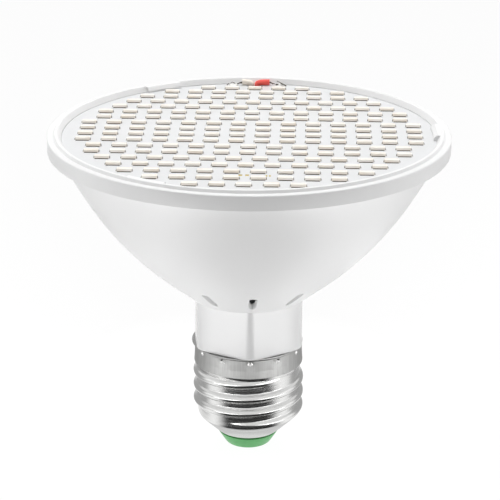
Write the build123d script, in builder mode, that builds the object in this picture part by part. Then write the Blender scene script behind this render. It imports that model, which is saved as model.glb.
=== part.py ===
from build123d import *

import os
from math import cos, radians, sin, sqrt, tan

os.makedirs("parts", exist_ok=True)

# A grow light bulb with a round board of LEDs in a vented bowl, on a six-sided neck and an E27 screw cap.
# Millimetres, +Z up, origin at the tip of the centre contact, a corner of the neck facing -Y.

# Clearances
seat_gap = 0.05
slide_gap = 0.1

# Centre contact
contact_proud = 0.7
contact_head_radius = 2.4
contact_shank_radius = 0.9
contact_shank_rise = 0.8
contact_bevel = 0.3

# Base insulator
insulator_height = 3.8
insulator_end_radius = 5.3
insulator_rim_radius = 7.6
insulator_round = 1.0
insulator_flange_radius = 10.2
insulator_flange_height = 1.2

# Screw shell, E27: seven turns to the inch, 26.3 mm over the crests
shell_height = 22.8
shell_wall = 0.35
shell_edge_radius = 7.7
shell_cone_angle = 46.0
shell_root_radius = 12.05
shell_shoulder = 1.2
thread_pitch = 3.629
thread_depth = 1.1
thread_crest_width = 0.9
thread_foot_width = 2.7
thread_turns = 2.75
thread_start_angle = -45.0
thread_start_rise = 5.5
collar_step = 0.75
collar_height = 5.1
collar_slope = 0.8
flare_reach = 0.65
flare_height = 0.35
flare_slope = 0.5
dimple_count = 12
dimple_size = 1.1
dimple_depth = 0.25
dimple_drop = 1.2

# Neck sleeve
neck_height = 11.94
neck_flat_inset = 0.1
neck_corner_round = 5.5
spigot_wall = 1.65
spigot_length = 3.3
crimp_groove_depth = 0.65
crimp_groove_height = 1.9
top_spigot_wall = 1.2
top_spigot_length = 4.2
barb_count = 4
barb_angle = 24.0
barb_reach = 0.9
barb_height = 1.3
rib_thickness = 1.0
rib_grip = 0.8
rib_top_drop = 2.0

# Bowl housing
bowl_height = 36.3
bowl_wall = 1.3
bowl_edge_reach = 1.15
bowl_edge_angle = 51.7
bowl_edge_pull = 13.5
bowl_top_angle = 25.9
bowl_top_pull = 23.5
bowl_floor = 1.6
rim_radius = 46.2
rim_overhang = 2.33
rim_height = 2.9
rim_round = 0.4
lip_width = 1.57
lip_fall = 0.12
ring_rise = 0.85
ring_width = 1.58
ring_round = 0.25
ledge_width = 1.7
ledge_height = 1.8
clip_count = 3
clip_angle = 17.0
clip_reach = 0.85
clip_lip = 0.3
vent_count = 12
vent_length = 6.0
vent_width = 1.8
vent_along = 6.7

# LED board and its packages, two leads through a slot at the back edge
board_gap = 0.15
board_thickness = 1.2
board_recess = 1.3
board_turn = -4.0
led_rows = (5, 8, 10, 11, 12, 13, 13, 14, 14, 14, 14, 13, 13, 12, 11, 10, 8, 5)
led_margin = 3.45
led_row_margin = 4.1
led_shift = (0.15, 0.55)
led_length = 3.5
led_width = 1.5
led_height = 0.65
lead_radius = 0.7
lead_inset = 2.2
lead_bend = 1.2
white_stub = 2.9
red_stub = 4.0
strand_radius = 0.35
strand_length = 1.4
solder_radius = 1.25
solder_top_radius = 0.6
solder_height = 0.9

# Driver board and what stands on it
driver_thickness = 1.2
driver_height = 18.0
driver_y = -3.0
film_length = 10.5
film_height = 8.0
film_thickness = 4.5
film_rise = 4.5
can_radius = 3.15
can_length = 9.0
can_rise = 12.2
can_bevel = 0.4
bridge_size = (3.9, 2.5, 4.7)
bridge_inset = 3.8
axial_radius = 1.3
axial_length = 6.5
axial_leg = 0.6
axial_leg_reach = 1.0
axial_inset = 4.0
chip_size = (1.6, 0.6, 3.2)
chip_x = 3.0
wire_sides = 12
mains_lead_radius = 0.6
neutral_lead_radius = 0.4
mains_lead_x = 5.0
mains_lead_rise = 2.5
live_drop = 3.5
live_rise = 5.0
live_bend = 3.0
board_lead_x = 3.5
board_lead_hold = 2.0
board_lead_rise = 5.0
board_lead_drop = 3.0
board_lead_low_bend = 4.0
board_lead_top_bend = 2.5

# Heights, worked up from the contact's tip
shell_edge_z = contact_proud + insulator_height
shell_top_z = shell_edge_z + shell_height
collar_z = shell_top_z - collar_height
bowl_bottom_z = shell_top_z + neck_height
rim_bottom_z = bowl_bottom_z + bowl_height
lip_z = rim_bottom_z + rim_height
ring_top_z = lip_z + ring_rise
board_top_z = ring_top_z - board_recess
board_seat_z = board_top_z - board_thickness
driver_seat_z = shell_top_z - spigot_length + rib_thickness
driver_top_z = driver_seat_z + driver_height

# Radii that follow from what each piece fits
root_inner_radius = shell_root_radius - shell_wall
thread_crest_radius = shell_root_radius + thread_depth
collar_radius = shell_root_radius + collar_step
collar_inner_radius = collar_radius - shell_wall
flare_radius = collar_radius + flare_reach
spigot_radius = collar_inner_radius - slide_gap
neck_across_flats = 2 * (collar_radius - neck_flat_inset)
neck_bore_radius = spigot_radius - spigot_wall
top_spigot_radius = neck_bore_radius + top_spigot_wall
bowl_edge_radius = neck_across_flats / 2 + bowl_edge_reach
bowl_top_radius = rim_radius - rim_overhang
ring_outer_radius = rim_radius - lip_width
ring_inner_radius = ring_outer_radius - ring_width
board_radius = ring_inner_radius - board_gap
ledge_radius = board_radius - ledge_width

# LED rows and lead places on the board
led_field = 2 * (board_radius - led_margin)
led_row_field = 2 * (board_radius - led_row_margin)
led_pitch_x = (led_field - led_length) / (max(led_rows) - 1)
led_pitch_y = (led_row_field - led_width) / (len(led_rows) - 1)
lead_line_y = board_radius - lead_inset
lead_gap = lead_radius + slide_gap / 2


def along(angle, distance, start):
    """The point at a distance from start, in a direction measured from the axis."""
    return (start[0] + distance * sin(radians(angle)), start[1] + distance * cos(radians(angle)))


def bowl_curve(inset):
    """Control points of the bowl's wall line, moved inwards by inset."""
    low = along(bowl_edge_angle - 90, inset, (bowl_edge_radius, bowl_bottom_z))
    high = along(bowl_top_angle - 90, inset, (bowl_top_radius, rim_bottom_z))
    return (
        low,
        along(bowl_edge_angle, bowl_edge_pull, low),
        along(bowl_top_angle, -bowl_top_pull, high),
        high,
    )


def nearest(shape, radius, height):
    """The corner of a section that lies nearest to a radius and a height."""
    return shape.vertices().sort_by_distance((radius, 0, height))[0]


# Centre contact: a nail whose head closes the circuit and whose shank holds it in the insulator
flange_step = insulator_flange_radius - shell_edge_radius
insulator_top_z = shell_edge_z + flange_step / tan(radians(shell_cone_angle))
insulator_top_z += insulator_flange_height
contact_top_z = insulator_top_z + contact_shank_rise
with BuildPart() as centre_contact:
    with BuildSketch(Plane.XZ):
        with BuildLine():
            Polyline(
                (0, 0),
                (contact_head_radius, 0),
                (contact_head_radius, contact_proud),
                (contact_shank_radius, contact_proud),
                (contact_shank_radius, contact_top_z),
                (0, contact_top_z),
                close=True,
            )
        make_face()
    revolve(axis=Axis.Z)
    chamfer(centre_contact.edges().filter_by(GeomType.CIRCLE).sort_by(Axis.Z)[0], contact_bevel)

# Base insulator: a cup-shaped plug, with a flange that the shell's cone closes over
cone_tan = tan(radians(shell_cone_angle))
cone_inset_r = (shell_wall + seat_gap) / cos(radians(shell_cone_angle))
throat_radius = shell_edge_radius - cone_inset_r
flange_foot_z = shell_edge_z + (insulator_flange_radius - throat_radius) / cone_tan
with BuildPart() as base_insulator:
    with BuildSketch(Plane.XZ) as insulator_section:
        with BuildLine():
            Polyline(
                (contact_shank_radius + seat_gap, contact_proud),
                (insulator_end_radius, contact_proud),
                (insulator_rim_radius, shell_edge_z),
                (throat_radius, shell_edge_z),
                (insulator_flange_radius, flange_foot_z),
                (insulator_flange_radius, insulator_top_z),
                (contact_shank_radius + seat_gap, insulator_top_z),
                close=True,
            )
        make_face()
        fillet(nearest(insulator_section.sketch, insulator_end_radius, contact_proud), insulator_round)
    revolve(axis=Axis.Z)

# Screw shell: a thin drawn cap, with the thread as a ridge that winds up it
cone_top_z = shell_edge_z + (shell_root_radius - shell_edge_radius) / cone_tan
cone_wall = shell_wall / cos(radians(shell_cone_angle))
with BuildPart() as thread_ridge:
    with BuildLine() as thread_line:
        Helix(
            pitch=thread_pitch,
            height=thread_turns * thread_pitch,
            radius=shell_root_radius,
            center=(0, 0, shell_edge_z + thread_start_rise),
        )
    ridge_plane = Plane(origin=thread_line.line @ 0, x_dir=(1, 0, 0), z_dir=thread_line.line % 0)
    with BuildSketch(ridge_plane):
        with BuildLine():
            Polyline(
                (-shell_wall / 2, -thread_foot_width / 2),
                (thread_crest_radius - shell_root_radius, -thread_crest_width / 2),
                (thread_crest_radius - shell_root_radius, thread_crest_width / 2),
                (-shell_wall / 2, thread_foot_width / 2),
                close=True,
            )
        make_face()
    sweep(path=thread_line.line, is_frenet=True)

with BuildPart() as screw_shell:
    with BuildSketch(Plane.XZ) as shell_section:
        with BuildLine():
            Polyline(
                (shell_edge_radius, shell_edge_z),
                (shell_root_radius, cone_top_z),
                (shell_root_radius, collar_z - collar_slope),
                (collar_radius, collar_z),
                (collar_radius, shell_top_z - flare_height - flare_slope),
                (flare_radius, shell_top_z - flare_height),
                (flare_radius, shell_top_z),
                (collar_inner_radius, shell_top_z),
                (collar_inner_radius, collar_z),
                (root_inner_radius, collar_z - collar_slope),
                (root_inner_radius, cone_top_z + (cone_wall - shell_wall) / cone_tan),
                (shell_edge_radius - cone_wall, shell_edge_z),
                close=True,
            )
        make_face()
        fillet(nearest(shell_section.sketch, shell_root_radius, cone_top_z), shell_shoulder + shell_wall)
        fillet(nearest(shell_section.sketch, root_inner_radius, cone_top_z), shell_shoulder)
    revolve(axis=Axis.Z)
    with Locations(Location((0, 0, 0), (0, 0, thread_start_angle))):
        add(thread_ridge.part)
    # Punched crimp marks: each is a bump inside and a pit outside
    with PolarLocations(collar_inner_radius - dimple_depth, dimple_count, start_angle=-90):
        with Locations((0, 0, shell_top_z - dimple_drop)):
            Box(shell_wall, dimple_size, dimple_size, align=(Align.MIN, Align.CENTER, Align.CENTER))
    with PolarLocations(collar_radius - dimple_depth, dimple_count, start_angle=-90):
        with Locations((0, 0, shell_top_z - dimple_drop)):
            Box(
                shell_wall,
                dimple_size,
                dimple_size,
                align=(Align.MIN, Align.CENTER, Align.CENTER),
                mode=Mode.SUBTRACT,
            )

# Neck sleeve: six flats outside, a round bore, a spigot each way and ribs that hold the driver board
groove_radius = spigot_radius - crimp_groove_depth
groove_top_z = shell_top_z - dimple_drop + crimp_groove_height / 2
spigot_end_z = shell_top_z - spigot_length
top_spigot_z = bowl_bottom_z + top_spigot_length
barb_z = bowl_bottom_z + bowl_floor + slide_gap
neutral_y = driver_y - driver_thickness / 2 - neutral_lead_radius - slide_gap
neutral_r = collar_inner_radius - seat_gap - neutral_lead_radius
neutral_x = -sqrt(neutral_r**2 - neutral_y**2)
with BuildPart() as barb:
    with BuildSketch(Plane.XZ):
        with BuildLine():
            Polyline(
                (neck_bore_radius + seat_gap, barb_z),
                (top_spigot_radius + barb_reach, barb_z),
                (top_spigot_radius, barb_z + barb_height),
                (neck_bore_radius + seat_gap, barb_z + barb_height),
                close=True,
            )
        make_face()
    revolve(axis=Axis.Z, revolution_arc=barb_angle)

with BuildPart() as neck_sleeve:
    with BuildSketch(Plane.XY.offset(shell_top_z)) as neck_outline:
        RegularPolygon(neck_across_flats / 2, 6, major_radius=False, rotation=30)
        fillet(neck_outline.vertices(), neck_corner_round)
    extrude(amount=neck_height)
    with BuildSketch(Plane.XY.offset(spigot_end_z)):
        Circle(spigot_radius)
    extrude(amount=spigot_length)
    with BuildSketch(Plane.XY.offset(bowl_bottom_z)):
        Circle(top_spigot_radius)
    extrude(amount=top_spigot_length)
    with BuildSketch(Plane.XY.offset(groove_top_z)):
        Circle(spigot_radius + slide_gap)
        Circle(groove_radius, mode=Mode.SUBTRACT)
    extrude(amount=-crimp_groove_height, mode=Mode.SUBTRACT)
    with PolarLocations(0, barb_count, start_angle=-barb_angle / 2):
        add(barb.part)
    with BuildSketch(Plane.XY.offset(spigot_end_z)):
        Circle(neck_bore_radius)
    extrude(amount=top_spigot_z - spigot_end_z, mode=Mode.SUBTRACT)

    # Ribs either side of the driver board's edges, and a stop under each edge
    rib_inner_x = sqrt(neck_bore_radius**2 - driver_y**2) - slide_gap - rib_grip
    rib_span = driver_thickness + 2 * slide_gap + 2 * rib_thickness
    with BuildSketch(Plane.XY.offset(spigot_end_z)):
        with Locations((0, driver_y)):
            Rectangle(neck_bore_radius * 4, rib_span)
            Rectangle(rib_inner_x * 2, rib_span, mode=Mode.SUBTRACT)
        Circle(neck_bore_radius + seat_gap * 2, mode=Mode.INTERSECT)
    extrude(amount=top_spigot_z - rib_top_drop - spigot_end_z)
    with BuildSketch(Plane.XY.offset(driver_seat_z)):
        with Locations((0, driver_y)):
            Rectangle(neck_bore_radius * 2, driver_thickness + 2 * slide_gap)
        Circle(neck_bore_radius, mode=Mode.INTERSECT)
    extrude(amount=driver_height, mode=Mode.SUBTRACT)

    # A notch in the lower spigot where the neutral wire lies against the shell
    with BuildSketch(Plane.XY.offset(spigot_end_z)):
        with Locations((neutral_x, neutral_y)):
            Circle(neutral_lead_radius + slide_gap)
        with Locations((neutral_x - neutral_lead_radius, neutral_y)):
            Rectangle(2 * neutral_lead_radius, 2 * (neutral_lead_radius + slide_gap))
    extrude(amount=spigot_length, mode=Mode.SUBTRACT)

# Bowl housing: one moulding, turned from its section, then clipped, slotted and notched
wall_top = bowl_curve(0)[3]
with BuildPart() as board_clip:
    with BuildSketch(Plane.XZ):
        with BuildLine():
            Polyline(
                (ring_inner_radius + slide_gap, board_top_z + slide_gap),
                (ring_inner_radius - clip_reach, board_top_z + slide_gap),
                (ring_inner_radius - clip_reach, board_top_z + slide_gap + clip_lip),
                (ring_inner_radius + slide_gap, ring_top_z - ring_round),
                close=True,
            )
        make_face()
    revolve(axis=Axis.Z, revolution_arc=clip_angle)

with BuildLine(Plane.XZ) as wall_line:
    Bezier(*bowl_curve(0))
vent_centre = wall_line.edge().position_at(vent_along, position_mode=PositionMode.LENGTH)
vent_run = wall_line.edge().tangent_at(vent_along, position_mode=PositionMode.LENGTH)
with BuildPart() as vent_cut:
    with BuildSketch(Plane(origin=vent_centre, x_dir=vent_run, z_dir=vent_run.cross(Vector(0, 1, 0)))):
        SlotOverall(vent_length, vent_width)
    extrude(amount=bowl_wall * 1.5, both=True)

with BuildPart() as bowl_housing:
    with BuildSketch(Plane.XZ) as bowl_section:
        with BuildLine():
            outside = Bezier(*bowl_curve(0))
            inside = Bezier(*bowl_curve(bowl_wall))
            Line(outside @ 0, inside @ 0)
            Line(outside @ 1, inside @ 1)
        make_face()
        with BuildLine():
            Polyline(
                (ledge_radius, board_seat_z),
                (ring_inner_radius, board_seat_z),
                (ring_inner_radius, ring_top_z),
                (ring_outer_radius, ring_top_z),
                (ring_outer_radius, lip_z + lip_fall),
                (rim_radius, lip_z),
                (rim_radius, rim_bottom_z),
                wall_top,
                (ledge_radius, board_seat_z - ledge_height),
                close=True,
            )
        make_face()
        with BuildLine():
            Polyline(
                (top_spigot_radius + slide_gap, bowl_bottom_z),
                (bowl_edge_radius, bowl_bottom_z),
                (bowl_edge_radius, bowl_bottom_z + bowl_floor),
                (top_spigot_radius + slide_gap, bowl_bottom_z + bowl_floor),
                close=True,
            )
        make_face()
        fillet(nearest(bowl_section.sketch, rim_radius, rim_bottom_z), rim_round)
        fillet(nearest(bowl_section.sketch, rim_radius, lip_z), rim_round)
        fillet(nearest(bowl_section.sketch, ring_outer_radius, ring_top_z), ring_round)
        fillet(nearest(bowl_section.sketch, ring_inner_radius, ring_top_z), ring_round)
    revolve(axis=Axis.Z)
    with PolarLocations(0, clip_count, start_angle=-clip_angle / 2):
        add(board_clip.part)
    with PolarLocations(0, vent_count, start_angle=-90):
        add(vent_cut.part, mode=Mode.SUBTRACT)
    with BuildSketch(Plane.XY.rotated((0, 0, board_turn)).offset(board_seat_z)):
        with Locations((0, lead_line_y)):
            SlotOverall(4 * lead_radius + 6 * slide_gap, 2 * (lead_radius + 3 * slide_gap))
    extrude(amount=-2 * ledge_height, mode=Mode.SUBTRACT)

# LED board: a round aluminium-core board with the lead slot at its back edge
board_plane = Plane.XY.rotated((0, 0, board_turn))
with BuildPart() as led_board:
    with BuildSketch(board_plane.offset(board_seat_z)):
        Circle(board_radius)
        with Locations((0, lead_line_y)):
            SlotOverall(2 * (lead_gap + lead_bend), 2 * (lead_radius + slide_gap), mode=Mode.SUBTRACT)
    extrude(amount=board_thickness)

# LED packages: rows of different lengths, set back a little from the board's middle
led_places = []
for row, count in enumerate(led_rows):
    row_y = ((len(led_rows) - 1) / 2 - row) * led_pitch_y + led_shift[1]
    for place in range(count):
        led_places.append(((place - (count - 1) / 2) * led_pitch_x + led_shift[0], row_y))
with BuildPart() as led_packages:
    with BuildSketch(board_plane.offset(board_top_z)):
        with Locations(*led_places):
            Rectangle(led_length, led_width)
    extrude(amount=led_height)

# Driver board, upright in the neck's ribs
driver_front_y = driver_y + driver_thickness / 2
driver_back_y = driver_y - driver_thickness / 2
driver_half_width = sqrt(neck_bore_radius**2 - (abs(driver_y) + driver_thickness / 2) ** 2) - slide_gap
with BuildPart() as driver_board:
    with BuildSketch(Plane.XY.offset(driver_seat_z)):
        with Locations((0, driver_y)):
            Rectangle(2 * driver_half_width, driver_thickness)
    extrude(amount=driver_height)

driver_front = Plane(origin=(0, driver_front_y, driver_seat_z), x_dir=(1, 0, 0), z_dir=(0, 1, 0))
driver_back = Plane(origin=(0, driver_back_y, driver_seat_z), x_dir=(-1, 0, 0), z_dir=(0, -1, 0))

# Film capacitor: a box with rounded upright edges
with BuildPart() as film_capacitor:
    with BuildSketch(driver_front) as film_outline:
        with Locations((0, -film_rise)):
            RectangleRounded(film_length, film_thickness, film_thickness / 5)
    extrude(amount=film_height)

# Electrolytic capacitor: a can with a bevelled far end
with BuildPart() as electrolytic_capacitor:
    with BuildSketch(driver_front):
        with Locations((0, -can_rise)):
            Circle(can_radius)
    extrude(amount=can_length)
    chamfer(electrolytic_capacitor.edges().sort_by(Axis.Y)[-1], can_bevel)

# Bridge rectifier: a small block beside the can
with BuildPart() as bridge_rectifier:
    with BuildSketch(driver_front):
        with Locations((driver_half_width - bridge_inset, -can_rise)):
            Rectangle(bridge_size[0], bridge_size[2])
    extrude(amount=bridge_size[1])


def axial_resistor(face, x, rise):
    """A round resistor that lies along the board, with a bent leg at each end."""
    with BuildPart() as resistor:
        body_plane = Plane(origin=face.from_local_coords((x, -rise, axial_radius)), z_dir=(0, 0, 1))
        with BuildSketch(body_plane.offset(-axial_length / 2)):
            Circle(axial_radius)
        extrude(amount=axial_length)
        with BuildSketch(body_plane.offset(-axial_length / 2 - axial_leg_reach)):
            Rectangle(axial_leg, axial_leg)
        extrude(amount=axial_length + 2 * axial_leg_reach)
        with BuildSketch(face):
            for end in (-1, 1):
                with Locations((x, -rise + end * (axial_length + 2 * axial_leg_reach - axial_leg) / 2)):
                    Rectangle(axial_leg, axial_leg)
        extrude(amount=axial_radius)
    return resistor


fusible_resistor = axial_resistor(driver_front, axial_inset - driver_half_width, can_rise)
discharge_resistor = axial_resistor(driver_back, 0, film_rise + axial_leg_reach)

# Chip resistors on the back of the driver board
with BuildPart() as chip_resistors:
    with BuildSketch(driver_back):
        with Locations((-chip_x, -can_rise), (chip_x, -can_rise)):
            Rectangle(chip_size[0], chip_size[2])
    extrude(amount=chip_size[1])


def wire(points, bends, radius):
    """A wire along straight runs joined by arcs, or by mitres where there are no bends."""
    with BuildPart() as run:
        with BuildLine() as route:
            if bends:
                FilletPolyline(*points, radius=bends)
            else:
                Polyline(*points)
        with BuildSketch(Plane(origin=route.line @ 0, z_dir=route.line % 0)):
            RegularPolygon(radius, wire_sides)
        sweep(path=route.line, transition=Transition.RIGHT)
    return run


# Mains wires: live to the nail, neutral out under the spigot and up against the shell
live_y = driver_back_y - mains_lead_radius
live_lead = wire(
    [
        (mains_lead_x, live_y, driver_seat_z + mains_lead_rise),
        (mains_lead_x, live_y, driver_seat_z - live_drop),
        (0, 0, contact_top_z + live_rise),
        (0, 0, contact_top_z),
    ],
    [live_bend, live_bend],
    mains_lead_radius,
)
neutral_z = spigot_end_z - neutral_lead_radius - slide_gap
neutral_lead = wire(
    [
        (-mains_lead_x, neutral_y, driver_seat_z + mains_lead_rise),
        (-mains_lead_x, neutral_y, neutral_z),
        (neutral_x, neutral_y, neutral_z),
        (neutral_x, neutral_y, shell_top_z - slide_gap),
    ],
    [],
    neutral_lead_radius,
)

# Board wires: from the back of the driver board, up through the bowl and over the board's edge
lead_z = board_top_z + lead_radius


def board_lead(side, stub):
    """The route of one board wire, side -1 or 1, whose insulation ends a stub's length along the board."""
    slot = board_plane.from_local_coords((side * lead_gap, lead_line_y, 0))
    end = board_plane.from_local_coords((side * stub, lead_line_y, 0))
    start_y = driver_back_y - lead_radius
    points = [
        (side * board_lead_x, start_y, driver_top_z - board_lead_hold),
        (side * board_lead_x, start_y, driver_top_z + board_lead_rise),
        (slot.X, slot.Y, board_seat_z - board_lead_drop),
        (slot.X, slot.Y, lead_z),
        (end.X, end.Y, lead_z),
    ]
    return points, [board_lead_low_bend, board_lead_top_bend, lead_bend]


white_route, white_bends = board_lead(-1, white_stub)
red_route, red_bends = board_lead(1, red_stub)
white_lead = wire(white_route, white_bends, lead_radius)
red_lead = wire(red_route, red_bends, lead_radius)

# Solder joints: a low mound over each pad, with the tinned strands that slope down into it
with BuildPart() as lead_solder:
    for side, stub in ((-1, white_stub), (1, red_stub)):
        mound_x = side * (stub + strand_length + solder_radius)
        strand_top = board_plane.from_local_coords((side * (stub + seat_gap), lead_line_y, lead_z))
        strand_foot = board_plane.from_local_coords((mound_x, lead_line_y, board_top_z + strand_radius))
        strand_run = strand_foot - strand_top
        with BuildSketch(Plane(origin=strand_top, z_dir=strand_run)):
            RegularPolygon(strand_radius, wire_sides)
        extrude(amount=strand_run.length)
        with Locations(board_plane.from_local_coords((mound_x, lead_line_y, board_top_z))):
            Cone(
                solder_radius,
                solder_top_radius,
                solder_height,
                align=(Align.CENTER, Align.CENTER, Align.MIN),
            )

pieces = {
    "centre_contact": centre_contact,
    "base_insulator": base_insulator,
    "screw_shell": screw_shell,
    "neck_sleeve": neck_sleeve,
    "bowl_housing": bowl_housing,
    "led_board": led_board,
    "led_packages": led_packages,
    "driver_board": driver_board,
    "film_capacitor": film_capacitor,
    "electrolytic_capacitor": electrolytic_capacitor,
    "bridge_rectifier": bridge_rectifier,
    "fusible_resistor": fusible_resistor,
    "discharge_resistor": discharge_resistor,
    "chip_resistors": chip_resistors,
    "live_lead": live_lead,
    "neutral_lead": neutral_lead,
    "white_lead": white_lead,
    "red_lead": red_lead,
    "lead_solder": lead_solder,
}
for name, piece in pieces.items():
    piece.part.label = name
    export_step(piece.part, f"parts/{name}.step")
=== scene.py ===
# %% [markdown]
# # A grow light bulb, dressed in Blender
# The bulb is a white bowl that holds a round board of LEDs, on a six-sided neck and an E27 screw cap.
# Its solids were drawn in CAD. Here they are loaded as a fixed frame, and each piece that shows is made
# again with the roundings, thread, dents and finishes that a solid model leaves out.

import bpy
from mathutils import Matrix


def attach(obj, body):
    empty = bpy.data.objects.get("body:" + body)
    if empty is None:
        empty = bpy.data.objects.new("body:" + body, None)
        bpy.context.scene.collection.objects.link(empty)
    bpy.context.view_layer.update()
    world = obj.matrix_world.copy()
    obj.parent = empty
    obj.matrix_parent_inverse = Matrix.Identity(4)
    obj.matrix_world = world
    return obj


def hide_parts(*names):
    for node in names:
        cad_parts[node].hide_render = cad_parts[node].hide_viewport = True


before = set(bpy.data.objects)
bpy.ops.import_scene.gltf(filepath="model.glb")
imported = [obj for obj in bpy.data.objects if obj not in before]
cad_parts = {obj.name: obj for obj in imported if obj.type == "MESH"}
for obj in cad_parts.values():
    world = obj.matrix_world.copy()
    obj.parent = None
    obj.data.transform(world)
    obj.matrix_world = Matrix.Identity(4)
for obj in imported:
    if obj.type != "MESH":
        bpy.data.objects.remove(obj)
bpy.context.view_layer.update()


# %% [markdown]
# ## Tools for the lesson
# Every size below is in millimetres, as on a drawing, and turns into metres only when a mesh is made.
# A mesh could be sculpted by hand or drawn with modifiers. Rows of points joined into a skin are used
# here instead, because a moulded or turned piece is exactly that: a section, moved along or around.

# %% Mesh tools
import math
import random

import bmesh
import bpy
from mathutils import Matrix, Vector

MM = 0.001
TURN = 2 * math.pi
WELD = 0.002  # points closer than this, in mm, become one


def on_circle(radius, angle, height):
    """A point at a radius, an angle in degrees from +X and a height."""
    turned = math.radians(angle)
    return (radius * math.cos(turned), radius * math.sin(turned), height)


def skin(loops, around=True, across=False):
    """Points and faces of a skin over rows of points. Around closes each row, across joins last to first."""
    points = [point for loop in loops for point in loop]
    count = len(loops[0])
    rows = len(loops)
    faces = []
    for row in range(rows if across else rows - 1):
        low, high = row * count, (row + 1) % rows * count
        for place in range(count if around else count - 1):
            beside = (place + 1) % count
            faces.append((low + place, low + beside, high + beside, high + place))
    return points, faces


def capped(loops):
    """A skin over loops, closed by a face at each end."""
    points, faces = skin(loops)
    count = len(loops[0])
    faces.append(tuple(reversed(range(count))))
    faces.append(tuple(range(len(points) - count, len(points))))
    return points, faces


def soft_corners(corners, steps=5):
    """An outline of (x, y, radius) corners, each eased into a curve of about that radius."""
    outline = []
    for place, (x, y, radius) in enumerate(corners):
        here = Vector((x, y))
        if radius == 0:
            outline.append(here)
            continue
        before = Vector(corners[place - 1][:2]) - here
        after = Vector(corners[(place + 1) % len(corners)][:2]) - here
        reach = radius / math.tan(before.angle(after) / 2)
        start = here + before.normalized() * reach
        end = here + after.normalized() * reach
        for step in range(steps + 1):
            t = step / steps
            outline.append(start * (1 - t) ** 2 + here * 2 * t * (1 - t) + end * t**2)
    return outline


def new_mesh(name, points, faces):
    """A mesh in metres from points in millimetres."""
    mesh = bpy.data.meshes.new(name)
    mesh.from_pydata([Vector(point) * MM for point in points], [], faces)
    return mesh


def show(name, data):
    """An object in the scene for a mesh, curve, light or camera."""
    shown = bpy.data.objects.new(name, data)
    bpy.context.scene.collection.objects.link(shown)
    return shown


def make_piece(name, patches, material, sharp_angle=40):
    """One smooth-shaded object from patches of points and faces in millimetres, welded where they meet."""
    points = []
    faces = []
    for patch_points, patch_faces in patches:
        first = len(points)
        points.extend(patch_points)
        faces.extend(tuple(first + corner for corner in face) for face in patch_faces)
    mesh = new_mesh(name, points, faces)
    welded = bmesh.new()
    welded.from_mesh(mesh)
    bmesh.ops.remove_doubles(welded, verts=welded.verts, dist=WELD * MM)
    bmesh.ops.recalc_face_normals(welded, faces=welded.faces)
    welded.to_mesh(mesh)
    welded.free()
    mesh.shade_smooth()
    mesh.set_sharp_from_angle(angle=math.radians(sharp_angle))
    mesh.materials.append(material)
    piece = show(name, mesh)
    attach(piece, "root")
    print(f"{name}: {len(mesh.vertices)} points, {len(mesh.polygons)} faces")
    return piece


def turned_piece(name, outline, material, count=96):
    """A piece turned about the lamp's axis from a closed outline of (radius, height) points."""
    loops = [[on_circle(r, 360 * place / count, z) for place in range(count)] for r, z in outline]
    return make_piece(name, [skin(loops, across=True)], material)


# %% [markdown]
# ## Tools for the finishes
# A finish starts from what the real material is. Its colour is written as the hex value that a colour
# picker shows, which is in sRGB, and one function turns it to the linear values that Cycles reckons with.
# One more function adds a node, gives it its settings and links what feeds it. No real surface is quite
# even, so the last one lets a noise of a given width vary a finish's tint, its roughness or its relief.

# %% Finish tools
def linear(colour):
    """The linear RGBA of an sRGB hex colour."""
    shares = [int(colour[place : place + 2], 16) / 255 for place in (1, 3, 5)]
    return (*[s / 12.92 if s <= 0.04045 else ((s + 0.055) / 1.055) ** 2.4 for s in shares], 1.0)


WHITE = linear("#FFFFFF")


def add_node(tree, kind, inputs=None, **settings):
    """A node with its settings, whose inputs are values or the outputs that feed them."""
    made = tree.nodes.new(kind)
    for setting, value in settings.items():
        setattr(made, setting, value)
    for socket, value in (inputs or {}).items():
        if isinstance(value, bpy.types.NodeSocket):
            tree.links.new(value, made.inputs[socket])
        else:
            made.inputs[socket].default_value = value
    return made


def new_finish(name, colour, roughness, **sockets):
    """A material with its Principled shader, and a coordinate in millimetres of the lamp's frame."""
    material = bpy.data.materials.new(name)
    material.use_nodes = True
    tree = material.node_tree
    shader = tree.nodes["Principled BSDF"]
    shader.inputs["Base Color"].default_value = linear(colour)
    shader.inputs["Roughness"].default_value = roughness
    for socket, value in sockets.items():
        shader.inputs[socket.replace("_", " ")].default_value = value
    place = add_node(tree, "ShaderNodeTexCoord")
    millimetres = add_node(
        tree, "ShaderNodeVectorMath", {0: place.outputs["Object"], 1: (1 / MM,) * 3}, operation="MULTIPLY"
    )
    return material, tree, shader, millimetres.outputs[0]


EVEN = (0.0, 1.0)


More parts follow.
